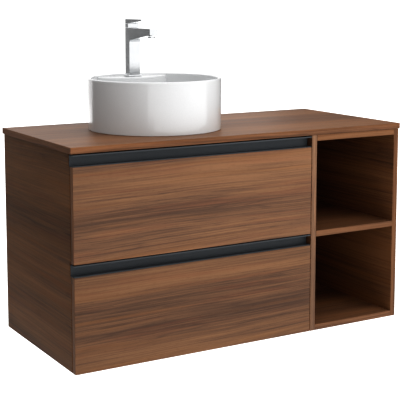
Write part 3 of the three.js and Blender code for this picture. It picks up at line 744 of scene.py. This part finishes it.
def add_trap_fittings():
    size = size_of("trap_tailpiece")
    tube = size.x / 2
    tail = [(0, 0)] + rounded(tube, 0, 8, 0.8, top=False) + threads(size.z - 20, size.z - 3, tube, 1.8, 0.7)
    tail += [(tube, size.z - 1), (tube - 0.8, size.z), (0, size.z)]
    turned_piece("trap_tailpiece_tube", "trap_tailpiece", tail)

    size = size_of("trap_bottle")
    bottle = size.x / 2
    form = [(0, 0)] + threads(0, 14, bottle - 0.4, 2.0, 0.9) + [(bottle - 0.4, 15), (bottle, 16)]
    form += [(bottle, size.z - 12)]
    turns = (0.3, 0.6, 0.9, 1.2, 1.5)
    form += [(bottle - 10 + 10 * math.cos(t), size.z - 10 + 10 * math.sin(t)) for t in turns]
    form += [(17.5, size.z), (0, size.z)]
    turned_piece("trap_bottle_body", "trap_bottle", form)

    size = size_of("trap_cup")
    cup, cup_height = size.x / 2, size.z
    form = [(0, 0), (12, 0), (13, 1), (cup - 8, 1.6)]
    form += [(cup - 8 + 8 * math.sin(t), 9.6 - 8 * math.cos(t)) for t in (0.4, 0.8, 1.2, 1.57)]
    form += [(cup, 14), (cup - 1.2, 15.2), (cup - 1.2, 17), (cup, 18.2), (cup, size.z - 3), (cup - 1, size.z)]
    form += [(0, size.z)]

    def ribs(bm, low, high):
        """Grip ribs round the cup."""
        centre = (low + high) / 2
        top, bottom = low.z + (cup_height - 5) * MM, low.z + 20 * MM
        half = 0.9 * MM
        for k in range(RIBS):
            spot = Matrix.Rotation(2 * math.pi * k / RIBS, 3, "Z") @ Vector(((cup - 0.5) * MM, 0, 0))
            add_box(
                bm,
                (centre.x + spot.x - half, centre.y + spot.y - half, bottom),
                (centre.x + spot.x + half, centre.y + spot.y + half, top),
                0.2 * MM,
            )

    turned_piece("trap_cup_ribbed", "trap_cup", form, extra=ribs)

    size = size_of("trap_union_nut")
    nut, inner = size.x / 2, 16.3
    form = [(inner, 0.6), (inner + 0.8, 0), (nut - 1.5, 0), (nut, 1.5), (nut, 4), (nut - 0.9, 4.8)]
    form += [(nut - 0.9, size.z - 4.8), (nut, size.z - 4), (nut, size.z - 1.5), (nut - 1.5, size.z)]
    form += [(inner + 0.8, size.z), (inner, size.z - 0.6)]
    turned_piece("trap_union_nut_turned", "trap_union_nut", form + [form[0]])

    size = size_of("trap_outlet_arm")
    tube = size.x / 2
    arm = [(0, 0), (tube - 1, 0), (tube, 1), (tube, 24), (tube - 0.5, 24.6), (tube - 0.5, size.y - 1.2)]
    arm += [(tube - 1.6, size.y), (tube - 2.4, size.y), (tube - 2.4, size.y - 20), (0, size.y - 20)]
    turned_piece("trap_outlet_arm_tube", "trap_outlet_arm", arm, axis="Y")


# ---------------------------------------------------------------- tap

def add_tap():
    add_plain("tap_base_plate", 1.1 * MM, 3)
    add_plain("tap_body", 1.6 * MM, 4)
    add_plain("tap_lever_neck", 0.35 * MM, 2)
    add_plain("tap_lever", 0.4 * MM, 2)

    size = size_of("tap_aerator")
    outer, tall = size.x / 2, size.z
    form = [(0, 1.6), (7.6, 1.6), (7.8, 0.3), (8.4, 0), (outer - 0.8, 0), (outer, 0.7), (outer, tall - 0.6)]
    form += [(outer - 0.5, tall), (0, tall)]

    def sieve(bm, low, high):
        """Two crossed layers of thin bars in the outlet."""
        x, y, _ = (low + high) / 2
        half = 0.22 * MM
        bottom, middle, top = low.z + 0.7 * MM, low.z + 1.2 * MM, low.z + 1.2 * MM + 0.3 * MM
        for k in range(-3, 4):
            reach = math.sqrt(7.5**2 - (2 * k) ** 2) * MM
            off = 2 * k * MM
            add_box(bm, (x + off - half, y - reach, bottom), (x + off + half, y + reach, middle))
            add_box(bm, (x - reach, y + off - half, middle), (x + reach, y + off + half, top))

    turned_piece("tap_aerator_sieve", "tap_aerator", form, 48, extra=sieve)

    size = size_of("tap_shank")
    outer = size.x / 2
    form = [(0, 0), (outer - 2, 0)] + threads(1.5, size.z - 6, outer, 1.5, 0.7)
    form += [(outer, size.z - 5), (outer, size.z), (0, size.z)]
    turned_piece("tap_shank_threaded", "tap_shank", form, 48)

    size = size_of("tap_cartridge")
    outer = size.x / 2
    form = [(0, 0), (outer - 1, 0), (outer, 1), (outer, 10), (outer - 0.8, 10.6), (outer - 0.8, 12)]
    form += [(outer, 12.6), (outer, size.z - 1), (outer - 1, size.z), (0, size.z)]
    turned_piece("tap_cartridge_moulded", "tap_cartridge", form, 48)


# ---------------------------------------------------------------- small hardware

def added(name, bm, material, body):
    """A small piece with no node of its own."""
    piece = new_piece(name, bm, [material], SHARP_ANGLE)
    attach(piece, body)


CAGE_ROWS = ((19.9, 3.6, 1.25), (15.65, 5.6, 1.45))
CAGE_HALF_WIDTH = 1.6 * MM
CAGE_HALF_THICKNESS = 0.25 * MM
CAGE_INSET = 0.02
BALL_INSET = 0.03
BALLS = 26


def add_ball_cages(level, side):
    """Two rows of bearing balls above and two below the middle member, held in thin strips.

    Each of CAGE_ROWS gives, in millimetres, the row's lift, its distance from the web and its balls' radius.
    """
    low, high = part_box(f"{level}_{side}_middle_rail")
    towards = 1 if side == "left" else -1
    web = low.x if side == "left" else high.x
    height = (low.z + high.z) / 2
    width, strip = CAGE_HALF_WIDTH, CAGE_HALF_THICKNESS
    front, back = low.y + CAGE_INSET, high.y - CAGE_INSET
    bm = bmesh.new()
    for lift, inset, radius in CAGE_ROWS:
        x = web + towards * inset * MM
        for sign in (-1, 1):
            z = height + sign * lift * MM
            add_box(bm, (x - width, front, z - strip), (x + width, back, z + strip), 0.08 * MM)
            for k in range(BALLS):
                y = low.y + BALL_INSET + (high.y - low.y - 2 * BALL_INSET) * k / (BALLS - 1)
                place = Matrix.Translation((x, y, z))
                bmesh.ops.create_icosphere(bm, subdivisions=2, radius=radius * MM, matrix=place)
    added(f"{level}_{side}_ball_cages", bm, "runner_steel", f"{level}_runner_middles")


PAD_PROFILE = [(0, 0), (4.0, 0), (4.2, 0.4), (3.9, 1.4), (3.0, 2.1), (1.6, 2.4), (0, 2.5)]
SCREW_PROFILE = [(0, 1.2), (1.4, 1.2), (1.6, 0.2), (2.2, 0), (4.2, 0.3), (4.6, 1.0), (4.6, 2.4), (0, 2.4)]
SCREW_STANDOFF = 2.2
SCREW_DROPS = (0.012, 0.040)
SMALL_STEPS = 24


def add_front_pads(level):
    """Pale plastic buffer pads on the back of a front, where it meets the left side's edge."""
    low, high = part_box(f"{level}_drawer_front")
    panel_low, panel_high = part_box("left_side_panel")
    x = (panel_low.x + panel_high.x) / 2
    bm = bmesh.new()
    for z in (low.z + 0.02, high.z - 0.045):
        lathe(bm, [(r * MM, h * MM) for r, h in PAD_PROFILE], (x, high.y, z), 0.1 * MM, SMALL_STEPS, "Y")
    added(f"{level}_front_pads", bm, "plastic", f"{level}_drawer")


def add_hanger_screws(node):
    """The two adjusting screws in the face of a hanger."""
    low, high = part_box(node)
    profile = [(r * MM, (h - SCREW_STANDOFF) * MM) for r, h in SCREW_PROFILE]
    bm = bmesh.new()
    for drop in SCREW_DROPS:
        lathe(bm, profile, ((low.x + high.x) / 2, low.y, high.z - drop), 0, SMALL_STEPS, "Y")
    added(f"{node}_screws", bm, "runner_steel", BODY_OF[node])


def add_hardware():
    for level in ("upper", "lower"):
        for side in ("left", "right"):
            add_ball_cages(level, side)
        add_front_pads(level)
    for node in ("hanger_left", "hanger_centre", "hanger_right"):
        add_hanger_screws(node)


# ---------------------------------------------------------------- stage and light

def add_plane(name, corners, material):
    bm = bmesh.new()
    bm.faces.new(ring(bm, corners))
    mesh = bpy.data.meshes.new(name)
    bm.to_mesh(mesh)
    bm.free()
    mesh.materials.append(material)
    plane = bpy.data.objects.new(name, mesh)
    bpy.context.scene.collection.objects.link(plane)
    return plane


BASIN_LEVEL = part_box("basin")[0].z
FLOOR_DROP = 0.30
FLOOR_HALF = 9.0
FLOOR_GLOW = 0.55
CARD_GREY = 0.205
LOW_CARD_GREY = 0.14
LOW_CARD_DROP = 0.12


def add_card(name, tone, x, depths, heights):
    """An upright card that lights and reflects, and that no camera sees."""
    card = Surface(name, Roughness=1.0)
    mottle = card.noise(card.place(), 2, 2)
    card.set(Base_Color=card.ramp(mottle, [(0.3, (tone * 0.93,) * 3), (0.7, (tone * 1.07,) * 3)]))
    (near, far), (low, top) = depths, heights
    wing = add_plane(name, [(x, near, low), (x, far, low), (x, far, top), (x, near, top)], card.material)
    wing.visible_camera = False


def add_stage():
    """A pale floor well below the cabinet, a grey card at each side, and a low one by the left panel."""
    floor = Surface("floor", Roughness=0.9)
    mottle = floor.noise(floor.place(), 1.3, 2)
    floor.set(Base_Color=floor.ramp(mottle, [(0.3, (0.86, 0.86, 0.86)), (0.7, (0.90, 0.90, 0.90))]))
    floor.set(Emission_Color=(1, 1, 1), Emission_Strength=FLOOR_GLOW)
    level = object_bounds()[0][2] - FLOOR_DROP
    corners = [(x * FLOOR_HALF, y * FLOOR_HALF, level) for x, y in ((-1, -1), (1, -1), (1, 1), (-1, 1))]
    add_plane("floor", corners, floor.material)

    add_card("left_card", CARD_GREY, -1.35, (-1.7, 2.8), (level, 1.5))
    add_card("left_low_card", LOW_CARD_GREY, -1.0, (-1.7, 2.0), (level, BASIN_LEVEL - LOW_CARD_DROP))
    add_card("right_card", CARD_GREY, 1.5, (-0.9, 1.6), (level, 1.1))


def add_area(name, place, target, size, watts):
    """A soft rectangular lamp that faces its target."""
    data = bpy.data.lights.new(name, "AREA")
    data.shape = "RECTANGLE"
    data.size, data.size_y = size
    data.energy = watts
    lamp = bpy.data.objects.new(name, data)
    lamp.location = place
    lamp.rotation_euler = (Vector(target) - Vector(place)).to_track_quat("-Z", "Y").to_euler()
    bpy.context.scene.collection.objects.link(lamp)


def add_light():
    world = bpy.data.worlds.new("studio")
    world.use_nodes = True
    background = world.node_tree.nodes["Background"]
    background.inputs["Color"].default_value = (1, 1, 1, 1)
    background.inputs["Strength"].default_value = 1.0
    bpy.context.scene.world = world
    add_area("key", (1.9, -2.6, 1.7), (0.1, -0.3, -0.1), (1.8, 1.8), 14)
    add_area("top", (0.0, -0.1, 2.4), (0, -0.1, 0), (2.4, 2.4), 10)
    settings = bpy.context.scene.view_settings
    settings.view_transform = "Standard"
    settings.look = "High Contrast"
    settings.exposure = -0.10
    settings.gamma = 1


# ---------------------------------------------------------------- assembly

add_camera()
add_boards()
add_basin()
add_waste_fittings()
add_trap_fittings()
add_tap()
add_hardware()
for node, shown in frame["nodes"].items():
    if not shown.hide_render:
        add_plain(node, 0.25 * MM if SLOT_OF[node] == "runner_steel" else 0.5 * MM)
add_stage()
add_light()
